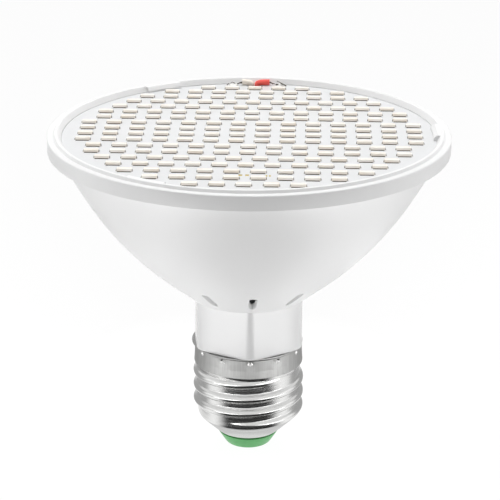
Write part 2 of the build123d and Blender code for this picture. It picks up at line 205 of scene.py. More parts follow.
def mottle(finish, width, detail=2.0, stretch=None, spread=EVEN, tints=None, roughness=None, bump=None):
    """Varies a finish by noise of a width in mm: two tints, two roughnesses, a bump's strength and depth."""
    material, tree, shader, where = finish
    if stretch:
        longer = add_node(tree, "ShaderNodeVectorMath", {0: where, 1: stretch}, operation="MULTIPLY")
        where = longer.outputs[0]
    noise_inputs = {"Vector": where, "Scale": 1 / width, "Detail": detail}
    noise = add_node(tree, "ShaderNodeTexNoise", noise_inputs).outputs["Fac"]
    limits = {"Value": noise, "From Min": spread[0], "From Max": spread[1]}
    if tints:
        share = noise if spread == EVEN else add_node(tree, "ShaderNodeMapRange", limits).outputs["Result"]
        dark, pale = linear(tints[0]), linear(tints[1])
        tint = add_node(tree, "ShaderNodeMix", {0: share, 6: dark, 7: pale}, data_type="RGBA")
        tree.links.new(tint.outputs[2], shader.inputs["Base Color"])
    if roughness:
        limits.update({"To Min": roughness[0], "To Max": roughness[1]})
        dull = add_node(tree, "ShaderNodeMapRange", limits)
        tree.links.new(dull.outputs["Result"], shader.inputs["Roughness"])
    if bump:
        relief_inputs = {"Height": noise, "Strength": bump[0], "Distance": bump[1] * MM}
        relief = add_node(tree, "ShaderNodeBump", relief_inputs)
        tree.links.new(relief.outputs["Normal"], shader.inputs["Normal"])
    print("finish:", material.name, "varied over", round(width, 2), "mm")
    return material


# %% [markdown]
# ## The white mouldings
# The bowl is ABS moulded in a tool with a fine spark-eroded texture, so it is satin: it scatters light
# widely and shows no clear reflection. The neck is the same plastic from a polished tool, so it is glossy
# and draws sharp bands of the studio along its rounded corners. Both start from a refractive index of 1.54.

# %% Satin moulded ABS
# To the eye it is an even white with no mirror image, only a broad sheen that follows the curve.
TEXTURE_GRAIN = 0.35  # the real grain is near 0.05 mm and wouldn't show, so it is drawn coarser
FLOW_WIDTH = 14.0  # broad, faint flow marks of the moulding
satin = new_finish("satin_moulded_abs", "#E9E9E9", 0.42, IOR=1.54)
mottle(satin, TEXTURE_GRAIN, bump=(0.04, 0.02))
satin_abs = mottle(satin, FLOW_WIDTH, detail=1.0, roughness=(0.38, 0.47))

# %% Glossy moulded ABS
# To the eye it is a white that carries clear bands of the studio, bent a little by the sink marks.
SINK_WIDTH = 7.0  # slight sink marks over the ribs inside
glossy = new_finish("glossy_moulded_abs", "#E9E9E9", 0.11, IOR=1.54)
glossy_abs = mottle(glossy, SINK_WIDTH, detail=0.0, roughness=(0.13, 0.19), bump=(0.15, 0.03))

# %% [markdown]
# ## The bowl's wall
# The wall is one smooth curve from the neck's edge to the rim, the kind that a designer draws with two
# handles, so a Bezier curve with the drawing's own handles gives it. Lengths along that curve place the
# vents and the rows of points.

# %% Bowl wall curve
BOWL_BOTTOM, RIM_BOTTOM, LIP, RING_TOP = 39.24, 75.54, 78.62, 79.29
WALL, WALL_EDGE, WALL_TOP = 1.3, 13.85, 43.87  # its thickness, and its radius at the neck and at the rim
EDGE_PULL, EDGE_LEAN = 13.5, math.radians(51.7)  # each handle's length, and its lean from the axis
TOP_PULL, TOP_LEAN = 23.5, math.radians(25.9)
WALL_HANDLES = [
    Vector((WALL_EDGE, BOWL_BOTTOM)),
    Vector((WALL_EDGE + EDGE_PULL * math.sin(EDGE_LEAN), BOWL_BOTTOM + EDGE_PULL * math.cos(EDGE_LEAN))),
    Vector((WALL_TOP - TOP_PULL * math.sin(TOP_LEAN), RIM_BOTTOM - TOP_PULL * math.cos(TOP_LEAN))),
    Vector((WALL_TOP, RIM_BOTTOM)),
]


def wall_point(t):
    """A point (radius, height) on the wall's curve, t from 0 at the neck to 1 at the rim."""
    weights = ((1 - t) ** 3, 3 * t * (1 - t) ** 2, 3 * t**2 * (1 - t), t**3)
    return sum((handle * weight for handle, weight in zip(WALL_HANDLES, weights)), Vector((0, 0)))


CURVE_STEPS = 400
curve_points = [wall_point(step / CURVE_STEPS) for step in range(CURVE_STEPS + 1)]
curve_lengths = [0.0]
for before, after in zip(curve_points, curve_points[1:]):
    curve_lengths.append(curve_lengths[-1] + (after - before).length)
WALL_LENGTH = curve_lengths[-1]


def wall_at(length, depth=0.0):
    """The wall's (radius, height) at a length along its curve, sunk inwards by a depth."""
    step = next((s for s in range(1, CURVE_STEPS) if curve_lengths[s] >= length), CURVE_STEPS)
    span = curve_points[step] - curve_points[step - 1]
    share = (length - curve_lengths[step - 1]) / (curve_lengths[step] - curve_lengths[step - 1])
    point = curve_points[step - 1] + span * share
    inwards = Vector((-span.y, span.x)).normalized()
    return point + inwards * depth


print("wall length in mm:", round(WALL_LENGTH, 2))

# %% [markdown]
# ## Vents without a Boolean
# Twelve slots let air into the bowl. A Boolean would cut them, but it leaves thin triangles that shade
# badly on a smooth wall. Each twelfth of the wall is laid out instead as rows of points that ease from a
# rectangle into the slot's outline, so the shading stays clean and the slot's edge can be rounded.

# %% Vent layout
SECTORS, ACROSS, UP = 12, 16, 14
SECTOR = 360 / SECTORS
VENT_WIDTH, VENT_LOW, VENT_HIGH = 1.8, 2.9, 10.5
VENT_TURN, VENT_DRAFT = 0.8, 0.25  # degrees aside, and how far each side of the slot draws in
LOW_END, HIGH_END = 3.0, 0.75  # the slot runs out in a long round end below and a short one above
VENT_EDGE, EDGE_STEPS = 0.18, 4  # the rounding of the slot's edge, and the rows of points over it
BAND_LOW, BAND_HIGH = 1.6, 12.4  # lengths along the wall between which the sectors lie
# shares of the way from the slot's outline to the sector's edge, closest together at the slot
EASING = (0, 0.02, 0.05, 0.1, 0.18, 0.3, 0.45, 0.62, 0.8, 1)


def vent_outline(grow):
    """The slot's outline as (angle in degrees, length along the wall), larger by grow."""
    half = VENT_WIDTH / 2 + grow
    low, high = VENT_LOW + LOW_END, VENT_HIGH - HIGH_END
    outline = []
    for step in range(ACROSS):
        turned = math.pi * (1 + step / ACROSS)
        outline.append((half * math.cos(turned), low + (LOW_END + grow) * math.sin(turned)))
    for step in range(UP):
        outline.append((half, low + (high - low) * step / UP))
    for step in range(ACROSS):
        turned = math.pi * step / ACROSS
        outline.append((half * math.cos(turned), high + (HIGH_END + grow) * math.sin(turned)))
    for step in range(UP):
        outline.append((-half, high - (high - low) * step / UP))
    return [(VENT_TURN + math.degrees(x / wall_at(length).x), length) for x, length in outline]


def sector_outline():
    """A sector's edge in the same form, point for point with the slot's outline."""
    rise = BAND_HIGH - BAND_LOW
    outline = [(SECTOR * (step / ACROSS - 0.5), BAND_LOW) for step in range(ACROSS)]
    outline += [(SECTOR / 2, BAND_LOW + rise * step / UP) for step in range(UP)]
    outline += [(SECTOR * (0.5 - step / ACROSS), BAND_HIGH) for step in range(ACROSS)]
    return outline + [(-SECTOR / 2, BAND_HIGH - rise * step / UP) for step in range(UP)]


print("vent in mm:", VENT_WIDTH, "by", round(VENT_HIGH - VENT_LOW, 2))

# %% Vent sectors
def between(inner, outer, share):
    """An outline that has gone a share of the way from an inner one to an outer one."""
    return [
        ((1 - share) * a + share * c, (1 - share) * b + share * d) for (a, b), (c, d) in zip(inner, outer)
    ]


def vent_sector(middle):
    """One sector of the wall: outside, slot and inside, as one run of loops around its middle angle."""
    edge, mouth, throat = sector_outline(), vent_outline(VENT_EDGE), vent_outline(-VENT_DRAFT)
    rows = [(between(mouth, edge, share), 0) for share in reversed(EASING)]
    for step in range(1, EDGE_STEPS + 1):
        eased = math.pi / 2 / EDGE_STEPS * step
        rows.append((vent_outline(VENT_EDGE * (1 - math.sin(eased))), VENT_EDGE * (1 - math.cos(eased))))
    rows += [(between(throat, edge, share), WALL) for share in EASING]
    loops = []
    for outline, depth in rows:
        places = [(angle, wall_at(length, depth)) for angle, length in outline]
        loops.append([on_circle(place.x, middle + angle, place.y) for angle, place in places])
    return skin(loops)


vent_patches = [vent_sector(-90 + SECTOR * sector) for sector in range(SECTORS)]
print("vent sectors:", len(vent_patches), "loops of", 2 * (ACROSS + UP), "points")

# %% [markdown]
# ## The bowl's rim and floor
# Above the vents the bowl is turned: the wall runs up to a wide rim with a lower lip, a raised ring and
# the ledge that carries the board. Below them it ends in a floor with a hole for the neck's spigot.
# Three clips lean over the board from the ring. All of it is welded into one skin with the vents.

# %% Bowl housing
RIM, RING_OUT, RING_IN, LEDGE, FLOOR_HOLE, FLOOR = 46.2, 44.85, 42.95, 41.45, 12.0, 1.6
RIM_DROP = 0.4  # the rim hangs a little below the top of the wall
RING_DRAFT = 0.4  # the ring narrows upwards, so that it leaves the mould
RING_SLOPE = 0.8  # its inner side leans outwards, so that the board drops into place
RING_KNEE = 0.15  # and the lean starts this far above the board
LIP_SLOPE = 0.05  # the lip rises a little towards the ring
BOARD_TOP, BOARD_SEAT, LEDGE_DEPTH = 77.99, 76.79, 1.8
AROUND = SECTORS * ACROSS
RISE_STEPS = 34


def turned_patch(outline):
    """A patch turned from an open outline, point for point with the vent sectors."""
    start = -90 - SECTOR / 2
    return skin([[on_circle(r, start + 360 * p / AROUND, z) for p in range(AROUND)] for r, z in outline])


wall_lengths = [BAND_HIGH + (WALL_LENGTH - BAND_HIGH) * step / RISE_STEPS for step in range(RISE_STEPS + 1)]
rim_corners = [  # each corner's radius, height and rounding
    (*wall_at(WALL_LENGTH), 0),
    (RIM, RIM_BOTTOM - RIM_DROP, 0.15),
    (RIM, LIP, 0.4),
    (RING_OUT, LIP + LIP_SLOPE, 0.1),
    (RING_OUT - RING_DRAFT, RING_TOP, 0.15),
    (RING_IN + RING_SLOPE, RING_TOP, 0.25),
    (RING_IN, BOARD_TOP + RING_KNEE, 0.15),
    (RING_IN, BOARD_SEAT, 0.1),
    (LEDGE, BOARD_SEAT, 0.1),
    (LEDGE, BOARD_SEAT - LEDGE_DEPTH, 0),
]
above_vents = [wall_at(length) for length in wall_lengths[:-1]] + soft_corners(rim_corners)
above_vents += [wall_at(length, WALL) for length in reversed(wall_lengths)]
floor_corners = [
    (*wall_at(BAND_LOW, WALL), 0),
    (FLOOR_HOLE, BOWL_BOTTOM + FLOOR, 0),
    (FLOOR_HOLE, BOWL_BOTTOM, 0.1),
    (WALL_EDGE, BOWL_BOTTOM, 0.35),
    (*wall_at(BAND_LOW), 0),
]
print("rows of points above the vents:", len(above_vents))

# %% Board clips
CLIPS, CLIP_ANGLE, CLIP_TURN, CLIP_STEPS = 3, 12.2, -2.4, 24
CLIP_REACH, CLIP_CLEAR = 0.85, 0.02  # how far a clip leans in, and its clearance over the board
CLIP_NOSE, CLIP_SHOULDER = 0.5, 0.1  # its nose's height over the board, and where its slope ends
CLIP_HOLD, CLIP_SUNK = 0.1, 0.02  # how far it goes into the ring, and lies below the ring's top
clip_root = RING_IN + RING_SLOPE + CLIP_HOLD
clip_outline = soft_corners(
    [
        (clip_root, BOARD_TOP + CLIP_CLEAR, 0),
        (RING_IN - CLIP_REACH, BOARD_TOP + CLIP_CLEAR, 0.12),
        (RING_IN - CLIP_REACH, BOARD_TOP + CLIP_NOSE, 0.2),
        (RING_IN - CLIP_SHOULDER, RING_TOP - CLIP_SUNK, 0.3),
        (clip_root, RING_TOP - CLIP_SUNK, 0),
    ]
)
clip_patches = []
for clip in range(CLIPS):
    middle = 360 / CLIPS * clip + CLIP_TURN
    angles = [middle + CLIP_ANGLE * (step / CLIP_STEPS - 0.5) for step in range(CLIP_STEPS + 1)]
    clip_patches.append(capped([[on_circle(r, angle, z) for r, z in clip_outline] for angle in angles]))
bowl = make_piece(
    "bowl_shell",
    vent_patches + [turned_patch(above_vents), turned_patch(soft_corners(floor_corners))] + clip_patches,
    satin_abs,
)
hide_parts("bowl_housing")

# %% [markdown]
# ## The six-sided neck
# The neck is a prism with six sides. On the real one the sides are slightly crowned, so that they look flat
# without sinking as the plastic cools, and the corners between them are tight. A cube with a Bevel modifier
# would give flat sides, so each outline is laid out from its own arcs: a wide one per side, a small one per
# corner. A circle with the same number of points lets the round spigots grow from the same rows.

# %% Neck outline
NECK_LOW, NECK_FLAT, NECK_CROWN, NECK_CORNER = 27.3, 12.7, 45.0, 3.2
SIDES, CORNER_STEPS, FLAT_STEPS = 6, 18, 14
SIDE_SPAN = 360 / SIDES
half_span = math.radians(SIDE_SPAN / 2)
# A corner's small arc touches a side's wide arc from inside, so the axis and the two arcs' centres make
# a triangle with two known sides and a known angle. Its third side is the corner's reach.
crown_middle = NECK_FLAT - NECK_CROWN
crown_along = crown_middle * math.cos(half_span)
corner_reach = crown_along + math.sqrt(
    crown_along**2 + (NECK_CROWN - NECK_CORNER) ** 2 - crown_middle**2
)
side_angle = math.degrees(
    math.atan2(corner_reach * math.sin(half_span), corner_reach * math.cos(half_span) - crown_middle)
)


def neck_outline(inset, height):
    """The neck's outline, moved inwards by an inset, from the corner that faces -Y."""
    outline = []
    for side in range(SIDES):
        corner_facing = -90 + SIDE_SPAN * side
        x, y, _ = on_circle(corner_reach, corner_facing, 0)
        for step in range(CORNER_STEPS):
            facing = corner_facing + (SIDE_SPAN - 2 * side_angle) * (step / CORNER_STEPS - 0.5)
            dx, dy, _ = on_circle(NECK_CORNER - inset, facing, 0)
            outline.append((x + dx, y + dy, height))
        side_facing = corner_facing + SIDE_SPAN / 2
        x, y, _ = on_circle(crown_middle, side_facing, 0)
        for step in range(FLAT_STEPS):
            facing = side_facing + 2 * side_angle * (step / FLAT_STEPS - 0.5)
            dx, dy, _ = on_circle(NECK_CROWN - inset, facing, 0)
            outline.append((x + dx, y + dy, height))
    return outline


print("neck over the corners in mm:", round(2 * (corner_reach + NECK_CORNER), 2))

# %% Neck sleeve
NECK_BORE, NECK_EDGE, NECK_TOP_EDGE = 10.7, 0.3, 0.06  # the bore, and the roundings of its two ends
SPIGOT, SPIGOT_LOW = 12.35, 24.0  # the lower spigot goes into the cap
SPIGOT_TAPER, TAPER_RISE = 0.25, 0.3  # and its end is tapered, so that it finds its way in
FLAT_ROW = 0.35  # a row of points this far below the bowl keeps the sides' shading flat
TOP_SPIGOT, TOP_SPIGOT_END = 11.9, 43.44  # the upper one goes through the bowl's floor
neck_angles = [math.degrees(math.atan2(y, x)) for x, y, _ in neck_outline(0, 0)]


def neck_circle(radius, height):
    """A circle with one point for each point of the neck's outline."""
    return [on_circle(radius, angle, height) for angle in neck_angles]


neck_loops = [neck_circle(NECK_BORE, SPIGOT_LOW), neck_circle(SPIGOT - SPIGOT_TAPER, SPIGOT_LOW)]
neck_loops += [neck_circle(SPIGOT, SPIGOT_LOW + TAPER_RISE), neck_circle(SPIGOT, NECK_LOW)]
for step in range(EDGE_STEPS + 1):
    eased = math.pi / 2 / EDGE_STEPS * step
    neck_loops.append(
        neck_outline(NECK_EDGE * (1 - math.sin(eased)), NECK_LOW + NECK_EDGE * (1 - math.cos(eased)))
    )
neck_loops += [neck_outline(0, NECK_LOW + 2 * NECK_EDGE), neck_outline(0, BOWL_BOTTOM - FLAT_ROW)]
neck_loops += [neck_outline(0, BOWL_BOTTOM - NECK_TOP_EDGE), neck_outline(NECK_TOP_EDGE, BOWL_BOTTOM)]
neck_loops += [neck_circle(TOP_SPIGOT, BOWL_BOTTOM), neck_circle(TOP_SPIGOT, TOP_SPIGOT_END)]
neck_loops.append(neck_circle(NECK_BORE, TOP_SPIGOT_END))
neck = make_piece("neck_prism", [skin(neck_loops, across=True)], glossy_abs)
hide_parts("neck_sleeve")

# %% [markdown]
# ## Plated metal for the cap
# The cap is thin sheet, drawn, threaded between rollers and nickel-plated. Drawing leaves fine lines up
# the collar, and rolling leaves lines around the thread. Metal has no colour of its own beneath the
# reflection, so the base colour is the metal's tint, and the default index stays.

# %% Rolled nickel plate
# To the eye it is a mirror with fine rings, so the thread shows the studio in bright and dark bands.
ROLL_LINE = 0.3  # the rollers' own lines are near 0.03 mm, drawn wider so that they show
ROLL_STRETCH = (0.02, 0.02, 1 / ROLL_LINE)  # lines that run on around the cap and change quickly up it
rolled = new_finish("rolled_nickel_plate", "#D2D2D1", 0.16, Metallic=1.0)
rolled_nickel = mottle(
    rolled, 1.0, stretch=ROLL_STRETCH, spread=(0.3, 0.7), roughness=(0.13, 0.24), bump=(0.15, 0.02)
)

# %% Brushed nickel plate
# To the eye it is a grey satin with upright lines, which smear what they mirror sideways. The draw lines are
# real, but the base is painted darker than the rolled plate's, though both are the same nickel, which paints
# shade on the collar.
DRAW_LINE, DRAW_RUN = 0.28, 9.0  # real draw lines are near 0.05 mm apart, drawn wider so that they show
DRAW_STRETCH = (1 / DRAW_LINE, 1 / DRAW_LINE, 1 / DRAW_RUN)
brushed_shaded_plate = new_finish("brushed_nickel_with_painted_shade", "#AEAEAD", 0.5, Metallic=1.0, Anisotropic=0.5)
brushed_nickel_shaded = mottle(
    brushed_shaded_plate, 1.0, detail=3.0, stretch=DRAW_STRETCH, tints=("#949493", "#B4B4B3"), bump=(0.5, 0.03)
)

# %% [markdown]
# ## The screw cap
# An E27 thread is round: a crest and a root of the same radius, joined where they touch. It could be a
# curve swept along a helix, but then its ends would stop short. One radius for each angle and height
# lets the thread fade in under the collar and out above the cone, and dents the collar where it's crimped.

# %% Thread shape
PITCH, ROOT, CREST, FRONT_CREST = 3.629, 12.05, 13.15, 16.8
ROUND = PITCH / 4 / math.sin(2 * math.atan((CREST - ROOT) / (PITCH / 2)))
COLLAR, COLLAR_LOW, FLARE, SHELL_EDGE, SHELL_TOP = 12.8, 22.2, 13.15, 4.5, 27.3
FADE_IN, FADE_OUT = (9.0, 10.6), (19.8, 21.4)  # heights between which the thread begins and ends


def ease(value, low, high):
    """A smooth rise from 0 at low to 1 at high."""
    share = min(1, max(0, (value - low) / (high - low)))
    return share * share * (3 - 2 * share)


def thread_height(angle, height):
    """How far the thread stands above its root at an angle and a height."""
    lift = FRONT_CREST + PITCH * (angle + 90) / 360
    crest = lift + PITCH * round((height - lift) / PITCH)
    away = abs(height - crest)
    if away < PITCH / 4:
        stands = CREST - ROOT - (ROUND - math.sqrt(ROUND**2 - away**2))
    else:
        stands = ROUND - math.sqrt(ROUND**2 - (PITCH / 2 - away) ** 2)
    return stands * ease(crest, *FADE_IN) * (1 - ease(crest, *FADE_OUT))


print("thread crest and root radius in mm:", round(ROUND, 3))

# %% Crimp dents
DENTS, DENT_HEIGHT, DENT_RADIUS, DENT_DEPTH = 12, 26.05, 0.55, 0.34
DENT_SPAN = 360 / DENTS
DISH_HEIGHT, DISH_RADIUS, DISH_DEPTH = 25.6, 1.7, 0.1  # the punch pulls the metal around it in as well
DISH_FADE = 0.4  # but not in the flare above, before which the dish fades out
DENT_STEPS, DENT_CROWD = 30, 0.3  # points to each dent's span, and how closely they crowd at its middle
FLARE_LOW, FLARE_ASIDE = 26.6, 0.28  # the flare was crimped a little off the axis, towards -X


def dent_away(angle, height, middle=DENT_HEIGHT):
    """How far a point of the collar is from the nearest crimp dent, in millimetres."""
    gap = (angle + 90 + DENT_SPAN / 2) % DENT_SPAN - DENT_SPAN / 2
    return math.hypot(math.radians(gap) * COLLAR, height - middle)


def dent_depth(angle, height):
    """How deep the crimping has pushed the collar in."""
    dent = max(0, 1 - (dent_away(angle, height) / DENT_RADIUS) ** 2)
    dish = max(0, 1 - (dent_away(angle, height, DISH_HEIGHT) / DISH_RADIUS) ** 2)
    return DENT_DEPTH * dent + DISH_DEPTH * dish**2 * ease(FLARE_LOW, height, height + DISH_FADE)


shell_angles = []
for dent in range(DENTS):
    for step in range(DENT_STEPS):
        share = 2 * step / DENT_STEPS - 1
        crowded = DENT_CROWD * share + (1 - DENT_CROWD) * share**3
        shell_angles.append(-90 + DENT_SPAN * (dent + 0.5 * crowded))
print("angles around the shell:", len(shell_angles))

# %% Screw shell
THREAD_LOW, FINE_STEP = 8.0, 0.14  # where the thread may begin, and how closely rows follow the outside
SHELL_MOUTH = 7.5  # the lower edge's rounded lip lies about this radius
SHEET = 0.35  # the shell's thickness, and how far the thread's end swells before the collar
STEP_LOW, SWELL, SWELL_RISE = 21.2, 0.12, 1.9  # the step up to the collar, and its wider foot
POLISHED = 1.05  # how far a dent's polish reaches, as a share of its radius
shell_corners = [  # each corner's height, radius and rounding, up the outside and down the inside
    (SHELL_EDGE, 7.7, 0.12),
    (8.7, ROOT, 1.6),
    (STEP_LOW, ROOT + SHEET, 0.4),
    (COLLAR_LOW, COLLAR + SWELL, 0.2),
    (COLLAR_LOW + SWELL_RISE, COLLAR, 1.8),
    (26.75, COLLAR, 0.2),
    (27.02, FLARE, 0.12),
    (SHELL_TOP, FLARE, 0.1),
    (SHELL_TOP, COLLAR - SHEET, 0.1),
    (COLLAR_LOW, COLLAR - SHEET, 0.3),
    (STEP_LOW, ROOT - SHEET, 0.4),
    (8.85, ROOT - SHEET, 1.2),
    (SHELL_EDGE, 7.22, 0.1),
]
section = [(radius, height) for height, radius in soft_corners(shell_corners, steps=6)]
fine_section = []
for (r, z), (next_r, next_z) in zip(section, section[1:] + section[:1]):
    rise, spread = next_z - z, next_r - r
    is_outside = r > SHELL_MOUTH and rise > 0
    steps = max(1, round(math.hypot(spread, rise) / FINE_STEP)) if is_outside else 1
    fine_section += [(r + spread * s / steps, z + rise * s / steps, is_outside) for s in range(steps)]
shell_loops = []
for radius, height, is_outside in fine_section:
    loop = []
    for angle in shell_angles:
        here = radius
        if is_outside and THREAD_LOW < height < COLLAR_LOW:
            here = max(radius, min(ROOT, radius) + thread_height((angle + 90) % 360 - 90, height))
        elif is_outside and COLLAR_LOW < height < SHELL_TOP:
            here = radius - dent_depth(angle, height)
        if radius > COLLAR and height > FLARE_LOW:
            here -= FLARE_ASIDE * math.cos(math.radians(angle)) * (radius - COLLAR) / (FLARE - COLLAR)
        loop.append(on_circle(here, angle, height))
    shell_loops.append(loop)
shell = make_piece("screw_cap", [skin(shell_loops, across=True)], rolled_nickel, 60)
# the collar gets the darker brushed finish, whose base colour is partly painted shade
shell.data.materials.append(brushed_nickel_shaded)
for face in shell.data.polygons:
    x, y, z = face.center / MM
    in_dent = dent_away(math.degrees(math.atan2(y, x)), z) < POLISHED * DENT_RADIUS
    face.material_index = 1 if z > COLLAR_LOW and not in_dent else 0  # a punch leaves its dent polished
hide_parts("screw_shell")

# %% [markdown]
# ## Insulator and contact
# Under the cap sits a green moulding, glass-filled PBT with a soft sheen, and in its middle the nail that
# meets the holder's spring. Both are turned forms, so an outline with eased corners is enough.

# %% Base insulator
# To the eye it is a clear green with a soft highlight, faintly mottled by the glass in it.
FIBRE = 0.5  # the glass fibres mottle the surface, drawn coarser than their 0.01 mm
green = new_finish("green_glass_filled_pbt", "#5BB066", 0.34, IOR=1.55)
green_pbt = mottle(green, FIBRE, detail=3.0, tints=("#57AA60", "#61B76C"), bump=(0.1, 0.02))
NAIL_HOLE, BASE_LOW, BASE_TOP = 0.95, 0.7, 8.1
BASE_FLANGE, BASE_NECK, BASE_SEAT = 7.35, 6.9, 10.2  # under the shell's edge, in it, and in its cone
insulator_corners = [  # each corner's radius, height and rounding
    (NAIL_HOLE, BASE_LOW, 0),
    (2.7, BASE_LOW, 0),
    (5.3, BASE_LOW, 1.1),
    (BASE_FLANGE, 3.95, 0.12),
    (BASE_NECK, 4.0, 0.05),
    (BASE_NECK, 4.4, 0),
    (BASE_SEAT, 7.4, 0),
    (BASE_SEAT, BASE_TOP, 0.2),
    (NAIL_HOLE, BASE_TOP, 0),
]
insulator = turned_piece(
    "green_insulator", soft_corners(insulator_corners, steps=8), green_pbt
)
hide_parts("base_insulator")

# %% Centre contact
# To the eye solder is a bright, slightly rippled metal.
RIPPLE = 0.6  # ripples of solder that froze as it shrank
bright_solder = new_finish("bright_tin_solder", "#CFCDC8", 0.2, Metallic=1.0)
solder_tin = mottle(bright_solder, RIPPLE, roughness=(0.12, 0.34), bump=(0.4, 0.05))
NAIL, NAIL_HEAD, NAIL_TOP = 0.9, 2.4, 8.9
PINHOLE = 0.02  # left open on the axis of a turned piece, since a row can't shrink to one point
nail_corners = [
    (PINHOLE, 0, 0),
    (1.6, 0.02, 0.4),
    (NAIL_HEAD, 0.35, 0.3),
    (NAIL_HEAD, BASE_LOW, 0.05),
    (NAIL, BASE_LOW, 0),
    (NAIL, NAIL_TOP, 0),
    (PINHOLE, NAIL_TOP, 0),
]
contact = turned_piece("contact_nail", soft_corners(nail_corners), solder_tin, count=64)
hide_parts("centre_contact")

# %% [markdown]
# ## The LED board
# The board is an aluminium core under a white solder mask, a printed lacquer with a slight orange peel.
# A slot near its back edge lets the two leads through. The board is flat, so here a Boolean does no harm.

# %% Board
# To the eye it is a cool matt white, against which the LEDs look cream.
PEEL = 0.8  # orange peel of the printed lacquer
mask = new_finish("white_solder_mask", "#DADBDC", 0.38, IOR=1.52)
white_mask = mottle(mask, PEEL, tints=("#D7D8D9", "#DDDEDF"), bump=(0.06, 0.03))
BOARD, BOARD_EDGE, BOARD_TURN, LEAD_LINE = 42.9, 0.08, -4.0, 40.7
board_frame = Matrix.Rotation(math.radians(BOARD_TURN), 3, "Z")
board_corners = [
    (PINHOLE, BOARD_SEAT, 0),
    (BOARD, BOARD_SEAT, BOARD_EDGE),
    (BOARD, BOARD_TOP, BOARD_EDGE),
    (PINHOLE, BOARD_TOP, 0),
]
board = turned_piece("mask_board", soft_corners(board_corners, steps=3), white_mask, count=240)
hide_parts("led_board")

# %% Board slot
SLOT_LENGTH, SLOT_WIDTH = 3.9, 1.6


def rectangle(length, width, corner, steps):
    """A rectangle with rounded corners around its own centre."""
    quarters = ((1, 1), (-1, 1), (-1, -1), (1, -1))
    return soft_corners([(x * length / 2, y * width / 2, corner) for x, y in quarters], steps)


def cut_through(piece, outline, low, high):
    """Cuts a hole with an outline of (x, y) points through a piece, between two heights."""
    points, faces = capped([[(x, y, height) for x, y in outline] for height in (low, high)])
    cutter = show("cutter", new_mesh("cutter", points, faces))
    cut = piece.modifiers.new("slot", "BOOLEAN")
    cut.object, cut.operation, cut.solver = cutter, "DIFFERENCE", "EXACT"
    bpy.context.view_layer.update()
    piece_now = piece.evaluated_get(bpy.context.evaluated_depsgraph_get())
    piece.data = bpy.data.meshes.new_from_object(piece_now)
    piece.modifiers.clear()
    bpy.data.objects.remove(cutter)


SLOT_ROUND = 0.99 * SLOT_WIDTH / 2  # nearly full round ends
slot_outline = rectangle(SLOT_LENGTH, SLOT_WIDTH, SLOT_ROUND, steps=10)
slot_outline = [(board_frame @ Vector((p.x, p.y + LEAD_LINE, 0))).xy for p in slot_outline]
cut_through(board, slot_outline, BOARD_SEAT - 1, BOARD_TOP + 1)
print("board faces after the cut:", len(board.data.polygons))

# %% [markdown]
# ## Test pads
# Between two of the front rows lie four small pads, where the maker's probes touch the board: copper,
# flashed with gold so that it doesn't tarnish. A painted patch would do, but a pad stands a little proud
# and catches light along its edge, so each is a very low block with eased corners.

# %% Test pads
# To the eye the pads are dots of dull gold, brighter where a probe has rubbed them.
PROBE_RUB = 0.25
flashed = new_finish("gold_flashed_copper", "#D2BC62", 0.4, Metallic=1.0)
gold_flash = mottle(flashed, PROBE_RUB, tints=("#B39A3C", "#E6D487"))
TEST_PADS = ((-0.85, -30.4, 0.85), (0.6, -30.35, 0.85), (4.75, -30.6, 0.45), (5.5, -30.6, 0.4))  # x, y, width
PAD_DEPTH, PAD_HEIGHT, PAD_CORNER = 1.0, 0.03, 0.1
PAD_ROWS = ((1.0, 0.0), (1.0, 0.6), (0.9, 1.0))  # shares of the pad's size and height
pad_patches = []
for x, y, width in TEST_PADS:
    rows = []
    for share, height in PAD_ROWS:
        outline = rectangle(width * share, PAD_DEPTH * share, PAD_CORNER, steps=3)
        z = BOARD_TOP + PAD_HEIGHT * height
        rows.append([tuple(board_frame @ Vector((x + p.x, y + p.y, z))) for p in outline])
    pad_patches.append(capped(rows))
make_piece("test_pads", pad_patches, gold_flash)

# %% [markdown]
# ## One LED, two hundred times
# Each LED is a moulded PPA package: a low block with a shallow cup, filled with clear-set silicone that
# carries the phosphor, and a tinned terminal at each short end that stands in a fillet of solder. One is
# laid out in its own small frame, then copied to its place in each row.

# %% LED finishes
REEL_PATCH = 4.0  # packages from different reels differ a little in tint, over a few packages at a time
PHOSPHOR_GRAIN = 0.3  # phosphor grains are near 0.02 mm, drawn coarser so that they show
SMEAR, SHADE_PATCH = 0.4, 0.7  # smears of tin, and patches in the painted shade along each package's foot

# moulded white nylon: a warm white block with soft edges
package = new_finish("white_ppa_package", "#FAF2E7", 0.4, IOR=1.5)
ppa = mottle(package, REEL_PATCH, detail=1.0, spread=(0.3, 0.7), tints=("#F4EADC", "#FFFAF3"))

# cast silicone full of phosphor: a paler, smoother window that catches small highlights
window = new_finish("phosphor_silicone", "#FCF7F0", 0.22, IOR=1.41)
phosphor = mottle(window, PHOSPHOR_GRAIN, tints=("#FAF1E6", "#FEFBF8"))

# dipped tin: small grey ends that part one package from the next
tinned = new_finish("dull_tinned_copper", "#96928B", 0.35, Metallic=1.0)
terminal_tin = mottle(tinned, SMEAR, roughness=(0.22, 0.5))

# painted shade: a thin dark-brown line along each long side of a package, where the shadow falls under it,
# which outlines the rows
foot_shade_base = new_finish("painted_shade_under_packages", "#3A342C", 0.3, IOR=1.52)
painted_foot_shade = mottle(foot_shade_base, SHADE_PATCH, tints=("#1E1A16", "#6A5E4E"))

# %% LED shape
LED_LENGTH, LED_WIDTH, LED_HEIGHT = 3.5, 1.5, 0.65
TERMINAL_X, TERMINAL_Y, SHADE_LINE_Y = 1.6, 0.15, 0.7  # places from the LED's centre


def block_loop(length, width, corner, height, x=0.0, y=0.0):
    """A rounded rectangle around a place in the LED's own frame, at a height above the board."""
    return [(x + p.x, y + p.y, height) for p in rectangle(length, width, corner, steps=2)]


